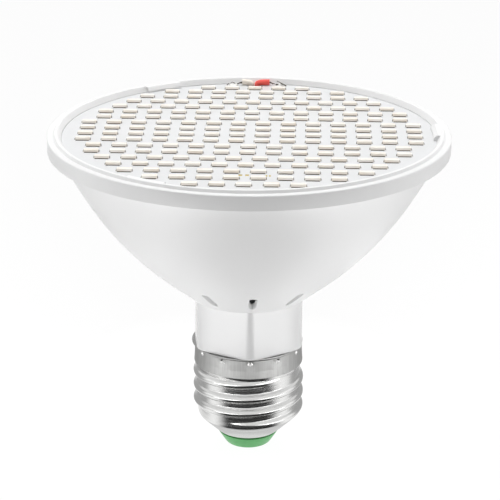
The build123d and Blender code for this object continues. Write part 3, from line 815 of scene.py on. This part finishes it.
body_loops = [  # from the foot up the sloped sides, over the top and down into the cup
    block_loop(3.14, 1.3, 0.06, 0.1),
    block_loop(3.34, LED_WIDTH, 0.08, 0.14),
    block_loop(3.34, LED_WIDTH, 0.08, 0.22),
    block_loop(3.28, 1.4, 0.08, 0.28),
    block_loop(3.18, 1.18, 0.08, 0.6),
    block_loop(3.12, 1.12, 0.1, LED_HEIGHT),
    block_loop(2.92, 0.94, 0.2, LED_HEIGHT),
    block_loop(2.86, 0.88, 0.2, LED_HEIGHT - 0.08),
]
window_loops = [block_loop(2.9, 0.92, 0.2, LED_HEIGHT - sunk) for sunk in (0.1, 0.02)]
# length, width and height of each row up a terminal and up a painted shade line
TERMINAL = ((0.5, 0.76, 0.0), (0.48, 0.72, 0.08), (0.4, 0.66, 0.26), (0.3, 0.56, 0.36))
# each painted shade line is a low dark block at a package's foot, standing in for the shadow beneath it
SHADE_LINE = ((3.0, 0.34, 0.0), (2.92, 0.3, 0.08), (2.82, 0.2, 0.15))
solder_loops, shade_line_loops = [], []
for side in (-1, 1):
    solder_loops.append([block_loop(w, d, 0.06, h, side * TERMINAL_X, TERMINAL_Y) for w, d, h in TERMINAL])
    shade_line_loops.append([block_loop(w, d, 0.04, h, 0, side * SHADE_LINE_Y) for w, d, h in SHADE_LINE])
one_led = body_loops + window_loops + sum(solder_loops + shade_line_loops, [])
print("points in one LED:", sum(len(loop) for loop in one_led))

# %% LED rows
LED_ROWS = (5, 8, 10, 11, 12, 13, 13, 14, 14, 14, 14, 13, 13, 12, 11, 10, 8, 5)
MARGIN_X, MARGIN_Y = 3.45, 4.1
PITCH_X = (2 * (BOARD - MARGIN_X) - LED_LENGTH) / (max(LED_ROWS) - 1)
PITCH_Y = (2 * (BOARD - MARGIN_Y) - LED_WIDTH) / (len(LED_ROWS) - 1)
LED_SHIFT = (0.15, 0.55)  # the rows sit a little behind the board's middle
BACK_ROW_SHIFT = 0.7  # the last row stands closer to the next, which leaves room for the leads
SLIP_X, SLIP_Y, TWIST = 0.08, 0.06, 1.0  # mm and degrees that a package may move as its solder melts
hand = random.Random(5)
led_places = []
for row, count in enumerate(LED_ROWS):
    for place in range(count):
        x = (place - (count - 1) / 2) * PITCH_X + LED_SHIFT[0] + hand.uniform(-SLIP_X, SLIP_X)
        y = ((len(LED_ROWS) - 1) / 2 - row) * PITCH_Y + LED_SHIFT[1] + hand.uniform(-SLIP_Y, SLIP_Y)
        y -= BACK_ROW_SHIFT if row == 0 else 0
        twist = Matrix.Rotation(math.radians(hand.uniform(-TWIST, TWIST)), 4, "Z")
        led_places.append(Matrix.Translation((x, y, BOARD_TOP)) @ twist)
on_board = board_frame.to_4x4()


def led_copies(*parts):
    """Parts of the LED's own frame, each a run of loops, at every LED's place."""
    copies = []
    for points, faces in map(capped, parts):
        copies += [([on_board @ place @ Vector(point) for point in points], faces) for place in led_places]
    return copies


led_bodies = make_piece("led_packages_moulded", led_copies(body_loops), ppa, 50)
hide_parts("led_packages")
make_piece("led_windows", led_copies(window_loops), phosphor, 50)
make_piece("led_terminals", led_copies(*solder_loops), terminal_tin, 50)
# the dark lines along each package are painted shade under it, not a part of the board
make_piece("led_painted_shade_lines", led_copies(*shade_line_loops), painted_foot_shade, 50)

# %% [markdown]
# ## The two leads
# A red and a cream PVC lead come up through the slot and bend over onto the board. Each follows the same
# route as its solid, as the control points of one NURBS curve, which is how a real wire eases its corners.

# %% Lead finishes
# To the eye extruded PVC is an even colour with one soft highlight along it, dulled where it was handled.
SCUFF = 0.7
red_insulation = new_finish("red_pvc_insulation", "#FB5F55", 0.38, IOR=1.53)
red_pvc = mottle(red_insulation, SCUFF, roughness=(0.3, 0.48))
cream_insulation = new_finish("cream_pvc_insulation", "#FAF2E7", 0.38, IOR=1.53)
cream_pvc = mottle(cream_insulation, SCUFF, tints=("#F5E9D8", "#FEF9F2"))

# %% Leads
LEAD, LEAD_GAP = 0.7, 0.75
LEAD_LEAN, LEAD_ASIDE = 1.1, -0.2  # both stubs lean back towards the rim, and a little to the left
LEAD_LIFT = 0.1  # and they are stiff enough not to lie flat on the board
DRIVER_TOP, DRIVER_BACK, DRIVER_LEAD_X = 43.0, -3.6, 3.5
HOLD, RISE, DROP, BEND_START = 2.0, 5.0, 3.0, 0.4  # run on the driver, above it, and below the board


def make_wire(name, route, radius, material):
    """A round wire along a NURBS curve with the route's points, in millimetres, as its control points."""
    curve = bpy.data.curves.new(name, "CURVE")
    curve.dimensions = "3D"
    curve.bevel_depth = radius * MM
    curve.bevel_resolution = 5
    curve.resolution_u = 12
    curve.use_fill_caps = True
    spline = curve.splines.new("NURBS")
    spline.points.add(len(route) - 1)
    for point, place in zip(spline.points, route):
        point.co = (*(Vector(place) * MM), 1)
    spline.order_u = 3
    spline.use_endpoint_u = True
    curve.materials.append(material)
    wire = show(name, curve)
    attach(wire, "root")
    return wire


def lead_route(side, stub):
    """The route of a board lead, side -1 or 1, to the end of its insulation."""
    slot = board_frame @ Vector((side * LEAD_GAP, LEAD_LINE, 0))
    bend = board_frame @ Vector((side * LEAD_GAP + LEAD_ASIDE, LEAD_LINE + LEAD_LEAN, 0))
    end = board_frame @ Vector((side * stub, LEAD_LINE + LEAD_LEAN, 0))
    return [
        (side * DRIVER_LEAD_X, DRIVER_BACK - LEAD, DRIVER_TOP - HOLD),
        (side * DRIVER_LEAD_X, DRIVER_BACK - LEAD, DRIVER_TOP + RISE),
        (slot.x, slot.y, BOARD_SEAT - DROP),
        (bend.x, bend.y, BOARD_TOP - BEND_START),
        (bend.x, bend.y, BOARD_TOP + LEAD_LIFT + LEAD),
        (end.x, end.y, BOARD_TOP + LEAD_LIFT + LEAD),
    ]


WHITE_STUB, RED_STUB = 3.2, 3.6
cream_wire = make_wire("cream_board_lead", lead_route(-1, WHITE_STUB), LEAD, cream_pvc)
red_wire = make_wire("red_board_lead", lead_route(1, RED_STUB), LEAD, red_pvc)
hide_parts("white_lead")
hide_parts("red_lead")
print("leads:", cream_wire.name, red_wire.name)

# %% [markdown]
# ## Solder joints
# Each lead's bare strands fan out and end in a low mound of solder with peaks, where the iron was drawn
# away. The strands are short wires browned by flux. The mound is a dome with a small cone for each peak.

# %% Solder finishes
# To the eye lead-free solder is whiter and duller than old solder, and fluxed strands are dark and brown.
GRAIN = 0.25  # it freezes into dull grains of about this width
frosted = new_finish("frosted_lead_free_solder", "#F4F3F0", 0.4, Metallic=0.4)
frosted_solder = mottle(frosted, GRAIN, roughness=(0.25, 0.55))
stained = new_finish("flux_stained_copper_strand", "#5A544D", 0.35, Metallic=1.0)
fluxed_copper = mottle(stained, GRAIN, tints=("#3A3530", "#7A746C"))

# %% Solder mounds and strands
MOUND, MOUND_DEPTH, MOUND_HEIGHT, PEAK = 1.15, 0.75, 0.4, 0.42
MOUND_ROWS, MOUND_AROUND, MOUND_TIP, MOUND_WAVE = 14, 40, 0.02, 0.1
DOME_POWER, PEAK_POWER = 0.7, 1.6  # below 1 the dome is full, and above 1 a peak is drawn out
SOLDER_LINE = LEAD_LINE + 0.6
JOINTS = {
    # lead: middle of its mound, and the peaks as (x, y, height) from that middle
    "cream": (-5.5, ((-0.8, 0.0, 0.5), (0.9, -0.1, 0.6), (0.05, 0.35, 0.3))),
    "red": (5.9, ((-0.9, 0.1, 0.35), (0.1, 0.3, 0.5), (0.8, 0.0, 0.3))),
}
STRANDS = {
    # lead: radius, then three points as x and y from the solder line and height above the board
    "cream": (
        (0.12, (-2.9, 0.3, 0.75), (-3.6, 0.2, 0.95), (-4.3, 0.0, 0.3)),
        (0.09, (-2.9, 0.4, 0.6), (-3.7, 0.4, 0.5), (-4.6, 0.1, 0.4)),
        (0.08, (-5.0, 0.2, 0.45), (-5.7, 0.2, 1.05), (-6.2, 0.1, 0.4)),
        (0.1, (-6.4, -0.1, 0.45), (-6.8, -0.1, 0.4), (-7.0, -0.1, 0.05)),
    ),
    "red": (
        (0.1, (3.3, 0.3, 0.9), (3.9, 0.2, 1.1), (4.5, 0.0, 0.35)),
        (0.1, (3.3, 0.4, 0.7), (4.2, 0.3, 0.7), (5.0, 0.1, 0.4)),
        (0.16, (5.15, -0.3, 0.4), (5.45, -0.3, 0.5), (5.8, -0.3, 0.4)),
        (0.09, (5.4, -0.1, 1.25), (6.4, -0.2, 0.95), (7.2, -0.3, 0.4)),
        (0.15, (6.4, -0.25, 0.75), (7.0, -0.3, 0.5), (7.8, -0.3, 0.1)),
    ),
}


def above_board(x, y, z):
    """A point on the board, from the solder line and the board's top, in the lamp's frame."""
    return tuple(board_frame @ Vector((x, SOLDER_LINE + y, BOARD_TOP + z)))


mound_patches = []
for lead, (middle, peaks) in JOINTS.items():
    loops = []
    for row in range(MOUND_ROWS + 1):
        outwards = 1 - row / MOUND_ROWS
        loop = []
        for place in range(MOUND_AROUND):
            turned_by = TURN * place / MOUND_AROUND
            wave = 1 + MOUND_WAVE * math.sin(3 * turned_by + middle)
            spread = MOUND_TIP + MOUND * outwards * wave
            x, y = spread * math.cos(turned_by), MOUND_DEPTH * spread * math.sin(turned_by)
            z = MOUND_HEIGHT * math.cos(math.pi / 2 * outwards) ** DOME_POWER if row else 0.0
            for peak_x, peak_y, peak_height in peaks:
                near = max(0, 1 - math.hypot(x - peak_x, y - peak_y) / PEAK)
                z += peak_height * near**PEAK_POWER
            loop.append(above_board(middle + x, y, z))
        loops.append(loop)
    mound_patches.append(capped(loops))
    for number, (radius, *route) in enumerate(STRANDS[lead]):
        places = [above_board(*place) for place in route]
        make_wire(f"strand_{lead}_{number}", places, radius, fluxed_copper)
solder = make_piece("solder_mounds", mound_patches, frosted_solder, 60)
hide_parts("lead_solder")

# %% [markdown]
# ## Inside the bowl
# The driver is hidden unless one looks up through a vent, so its solids keep their shapes and only get
# finishes: laminate, dipped and sleeved capacitors, moulded epoxy and lacquered resistors.

# %% Driver finishes
# To the eye, past a vent: dull brown laminate, a glossy red drop, a dark sleeve and small matt blocks.
INNER_FINISHES = {
    # node: its finish, colour, roughness, metallic share and the width of its mottling in mm
    "driver_board": ("paper_laminate", "#B99A63", 0.5, 0.0, 1.2),
    "film_capacitor": ("dipped_epoxy", "#A5342A", 0.25, 0.0, 2.0),
    "electrolytic_capacitor": ("shrink_sleeve", "#22242A", 0.35, 0.0, 3.0),
    "bridge_rectifier": ("moulded_epoxy", "#1B1B1B", 0.45, 0.0, 0.6),
    "chip_resistors": ("glazed_chip", "#202020", 0.3, 0.0, 0.6),
    "fusible_resistor": ("resistor_lacquer", "#8FA79C", 0.4, 0.0, 0.8),
    "discharge_resistor": ("resistor_lacquer", "#8FA79C", 0.4, 0.0, 0.8),
    "live_lead": ("cream_pvc_core", "#F1E8DB", 0.4, 0.0, 0.7),
    "neutral_lead": ("tinned_copper_wire", "#BDB9B2", 0.3, 1.0, 0.5),
}
made_finishes = {}
for node_name, (name, colour, roughness, metallic, width) in INNER_FINISHES.items():
    if name not in made_finishes:
        finish = new_finish(name, colour, roughness, Metallic=metallic)
        made_finishes[name] = mottle(finish, width, detail=3.0, roughness=(roughness - 0.1, roughness + 0.1))
    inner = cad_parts[node_name]
    inner.data.materials.clear()
    inner.data.materials.append(made_finishes[name])
print("inner finishes:", len(made_finishes))

# %% [markdown]
# ## The white room
# The photograph's studio is a white room: soft light from above and from both sides, and less from where
# the camera stands. The white behind the lamp is the world itself, which is white where the camera looks
# at it straight or in a reflection, and dimmer as a lamp, so that it doesn't wash out the object.

# %% World
ROOM_FILL = 0.1
world = bpy.data.worlds.new("white_room")
bpy.context.scene.world = world
world.use_nodes = True
tree = world.node_tree
tree.nodes.clear()


def seen_share(tree):
    """An output that is 1 for rays that see or mirror the background, and 0 for rays that only light."""
    path = add_node(tree, "ShaderNodeLightPath")
    seen = path.outputs["Is Camera Ray"]
    for kind in ("Is Glossy Ray", "Is Transmission Ray"):
        either = add_node(tree, "ShaderNodeMath", {0: seen, 1: path.outputs[kind]}, operation="MAXIMUM")
        seen = either.outputs[0]
    return seen


fill = add_node(tree, "ShaderNodeBackground", {"Color": WHITE, "Strength": ROOM_FILL})
white = add_node(tree, "ShaderNodeBackground", {"Color": WHITE, "Strength": 1.0})
room = add_node(tree, "ShaderNodeMixShader", {0: seen_share(tree), 1: fill.outputs[0], 2: white.outputs[0]})
add_node(tree, "ShaderNodeOutputWorld", {"Surface": room.outputs[0]})
bpy.context.scene.view_settings.view_transform = "Standard"
print("world:", world.name, "fill", ROOM_FILL)

# %% [markdown]
# ## A floor that lights from below
# The underside of the bowl is bright in the photograph, so light comes up from the paper as from a light
# table with tubes at its left and right. A lamp under the floor would need a sheer floor, so the paper
# glows by itself: most at the sides and near the lamp's foot, least in front and behind. It is clear from
# below, so that a view from there sees the lamp.

# %% Floor
# To the eye the paper is burnt out to white, and only a faint shadow says that it is there.
TABLE_GLOW = 0.54
TUBE_START, TUBE_FULL = 0.3, 0.92  # where the tubes' light starts and is full, as |x| over the reach
FOOT_FAR, FOOT_NEAR, FOOT_GLOW = 85.0, 50.0, 1.3  # the same near the foot, in mm, and its strength
FLOOR_WHITE = 0.9  # how far the paper is burnt out to white, which leaves the rest for the shadow
FLOOR_RADIUS, FLOOR_HEIGHT, FLOOR_POINTS = 1500, -0.1, 96
pale_floor, tree, shader, at_mm = new_finish("pale_paper_sweep", "#D8D8D8", 0.7)
split = add_node(tree, "ShaderNodeSeparateXYZ", {0: at_mm})
aside = add_node(tree, "ShaderNodeMath", {0: split.outputs["X"]}, operation="ABSOLUTE")
reach = add_node(tree, "ShaderNodeVectorMath", {0: at_mm}, operation="LENGTH").outputs["Value"]
share = add_node(tree, "ShaderNodeMath", {0: aside.outputs[0], 1: reach}, operation="DIVIDE")
tubes_inputs = {"Value": share.outputs[0], "From Min": TUBE_START, "From Max": TUBE_FULL}
tubes = add_node(tree, "ShaderNodeMapRange", tubes_inputs).outputs["Result"]
foot_inputs = {"Value": reach, "From Min": FOOT_FAR, "From Max": FOOT_NEAR, "To Max": FOOT_GLOW}
foot = add_node(tree, "ShaderNodeMapRange", foot_inputs).outputs["Result"]
lit = add_node(tree, "ShaderNodeMath", {0: tubes, 1: foot}, operation="MAXIMUM")
glow = add_node(tree, "ShaderNodeMath", {0: lit.outputs[0], 1: TABLE_GLOW}, operation="MULTIPLY")
tree.links.new(glow.outputs[0], shader.inputs["Emission Strength"])
shader.inputs["Emission Color"].default_value = WHITE
burnt = add_node(tree, "ShaderNodeEmission", {"Color": WHITE, "Strength": 1.0})
how_far = add_node(tree, "ShaderNodeMath", {0: seen_share(tree), 1: FLOOR_WHITE}, operation="MULTIPLY")
paper_inputs = {0: how_far.outputs[0], 1: shader.outputs[0], 2: burnt.outputs[0]}
paper = add_node(tree, "ShaderNodeMixShader", paper_inputs)
below = add_node(tree, "ShaderNodeNewGeometry").outputs["Backfacing"]
clear = add_node(tree, "ShaderNodeBsdfTransparent")
one_sided = add_node(tree, "ShaderNodeMixShader", {0: below, 1: paper.outputs[0], 2: clear.outputs[0]})
tree.links.new(one_sided.outputs[0], tree.nodes["Material Output"].inputs["Surface"])
floor_edge = [on_circle(FLOOR_RADIUS, 360 * p / FLOOR_POINTS, FLOOR_HEIGHT) for p in range(FLOOR_POINTS)]
floor = show("paper_sweep", new_mesh("paper_sweep", floor_edge, [tuple(range(FLOOR_POINTS))]))
floor.data.materials.append(pale_floor)
print("floor:", floor.name, "radius in mm", FLOOR_RADIUS)

# %% [markdown]
# ## Lamps
# Softboxes stand left and right at the bowl's height, and two more hang above, the brighter one behind.
# Area lights with a size spread their light as cloth does, so shadows stay soft. They are hidden from
# mirror rays, because the cards below say what the metal mirrors.

# %% Lamps
LAMP_DISTANCE = 0.9
AIM = Vector((0, 0, 0.045))
SOFTBOXES = {
    # name: azimuth from the camera's side, elevation, width and height in metres, brightness
    "left": (-88, 14, 0.75, 0.9, 1.6),
    "right": (90, 14, 0.8, 0.9, 1.48),
    "front_top": (0, 70, 1.0, 0.7, 0.85),
    "overhead": (180, 70, 1.0, 0.8, 3.3),
}


def direction(azimuth, elevation):
    """A direction away from the lamp, at an azimuth from the camera's side and an elevation in degrees."""
    turn, lift = math.radians(azimuth), math.radians(elevation)
    return Vector((math.sin(turn) * math.cos(lift), -math.cos(turn) * math.cos(lift), math.sin(lift)))


for name, (azimuth, elevation, width, height, brightness) in SOFTBOXES.items():
    light = bpy.data.lights.new(name + "_softbox", "AREA")
    light.shape = "RECTANGLE"
    light.size, light.size_y = width, height
    light.energy = brightness * math.pi * width * height  # at 1 it is as white as the background
    softbox = show(name + "_softbox", light)
    softbox.location = AIM + direction(azimuth, elevation) * LAMP_DISTANCE
    softbox.rotation_euler = (AIM - softbox.location).to_track_quat("-Z", "Y").to_euler()
    softbox.visible_glossy = False
print("softboxes:", list(SOFTBOXES))

# %% [markdown]
# ## Something to mirror
# Bright metal on a white floor looks flat, because it mirrors white all round. Photographers lay dark and
# white cards just out of the picture, and their mirror images draw the thread and the neck's corners.
# Cards that only mirror rays can see do the same here, and they neither show nor take light from the lamp.

# %% Cards
CARD_STEPS = 48


def card_finish(name, brightness, low_azimuth, high_azimuth, soft, one_sided):
    """A card of even brightness that thins out over the last soft degrees of its two ends."""
    material, tree, shader, at_mm = new_finish(name, "#000000", 1.0, Emission_Strength=brightness)
    shader.inputs["Emission Color"].default_value = WHITE
    shader.inputs["Specular IOR Level"].default_value = 0.0
    middle, half = (low_azimuth + high_azimuth) / 2, (high_azimuth - low_azimuth) / 2
    split = add_node(tree, "ShaderNodeSeparateXYZ", {0: at_mm}).outputs
    forward = add_node(tree, "ShaderNodeMath", {0: split["Y"], 1: -1.0}, operation="MULTIPLY")
    turn = add_node(tree, "ShaderNodeMath", {0: split["X"], 1: forward.outputs[0]}, operation="ARCTAN2")
    offset_inputs = {0: turn.outputs[0], 1: math.radians(middle)}
    offset = add_node(tree, "ShaderNodeMath", offset_inputs, operation="SUBTRACT")
    away = add_node(tree, "ShaderNodeMath", {0: offset.outputs[0]}, operation="ABSOLUTE").outputs[0]
    ends = {"Value": away, "From Min": math.radians(half), "From Max": math.radians(half - soft)}
    alpha = add_node(tree, "ShaderNodeMapRange", ends, interpolation_type="SMOOTHSTEP").outputs["Result"]
    if one_sided:
        behind = add_node(tree, "ShaderNodeNewGeometry").outputs["Backfacing"]
        front = add_node(tree, "ShaderNodeMath", {0: 1.0, 1: behind}, operation="SUBTRACT")
        both = add_node(tree, "ShaderNodeMath", {0: alpha, 1: front.outputs[0]}, operation="MULTIPLY")
        alpha = both.outputs[0]
    tree.links.new(alpha, shader.inputs["Alpha"])
    return material


def make_card(name, low_azimuth, high_azimuth, inner, outer, brightness, soft, one_sided=False):
    """A curved card between two (radius, height) edges in millimetres, seen by mirror rays only."""
    span = high_azimuth - low_azimuth
    angles = [low_azimuth + span * step / CARD_STEPS - 90 for step in range(CARD_STEPS + 1)]
    rows = [[on_circle(radius, angle, height) for angle in angles] for radius, height in (inner, outer)]
    card = show(name, new_mesh(name, *skin(rows, around=False)))
    finish = card_finish(name + "_card", brightness, low_azimuth, high_azimuth, soft, one_sided)
    card.data.materials.append(finish)
    card.visible_camera = card.visible_diffuse = card.visible_shadow = False


CARDS = {
    # name: azimuths from the camera's side, inner and outer (radius, height) in mm, brightness, softness
    "left_glow_card": (-112, -54, (850, -40), (850, 420), 1.35, 18),
    "right_glow_card": (54, 114, (850, -40), (850, 420), 1.35, 18),
    "thread_front_flag": (-78, 72, (14, 0.2), (62, 0.2), 0.03, 40),
    "thread_left_card": (-104, -42, (14, 0.21), (56, 0.21), 1.3, 32),
    "thread_right_card": (40, 100, (14, 0.21), (56, 0.21), 1.3, 32),
    "under_base_flag": (-178, 178, (6.5, 0.15), (14, 0.15), 0.75, 4),
    "collar_front_flag": (-50, 48, (60, 0.22), (86, 0.22), 0.6, 20),
    "collar_left_flag": (-160, -50, (58, 0.23), (84, 0.23), 0.5, 30),
    "neck_left_card": (-76, -24, (74, 0.26), (150, 0.26), 4.7, 14),
    "neck_right_card": (22, 76, (74, 0.27), (150, 0.27), 4.7, 14),
    "left_gleam_card": (-62, -6, (88, 0.28), (150, 0.28), 6.2, 28),
    "right_gleam_card": (4, 60, (88, 0.29), (150, 0.29), 6.2, 28),
    "left_curtain_flag": (-150, -76, (29, 0.3), (34, 31), 0.5, 22),
    "right_curtain_flag": (76, 150, (29, 0.3), (34, 31), 0.5, 22),
    "bowl_left_flag": (-158, -100, (86, 0.36), (400, 0.36), 0.1, 14),
    "bowl_right_flag": (100, 158, (86, 0.38), (400, 0.38), 0.1, 14),
    "overhead_flag": (-90, 90, (330, 360), (30, 520), 0.1, 40, True),
}
for name, card in CARDS.items():
    make_card(name, *card)
print("cards:", list(CARDS))

# %% [markdown]
# ## Camera
# The camera stands a little above the rim and looks down about twenty degrees, from far enough away that
# the perspective is mild. A long lens frames the lamp as the photograph does.

# %% Camera
FOCAL, SENSOR = 138.88, 36.0
VIEW_AZIMUTH, VIEW_ELEVATION, VIEW_DISTANCE = -2.1, 20.391, 452.04
ASIDE, AIM_HEIGHT, ROLL = 0.282, 49.6, 0.232
camera_data = bpy.data.cameras.new("studio_camera")
camera_data.lens = FOCAL
camera_data.sensor_width = SENSOR
camera_data.clip_start = 0.01
camera_data.clip_end = 100
camera = show("studio_camera", camera_data)
azimuth = math.radians(VIEW_AZIMUTH)
back = direction(VIEW_AZIMUTH, VIEW_ELEVATION)
right = Vector((math.cos(azimuth), math.sin(azimuth), 0))
turn = (-back).to_track_quat("-Z", "Y").to_matrix() @ Matrix.Rotation(math.radians(ROLL), 3, "Z")
place = (Vector((0, 0, AIM_HEIGHT)) + right * ASIDE + back * VIEW_DISTANCE) * MM
camera.matrix_world = Matrix.Translation(place) @ turn.to_4x4()
bpy.context.scene.camera = camera
print("camera at", tuple(round(c, 4) for c in place))
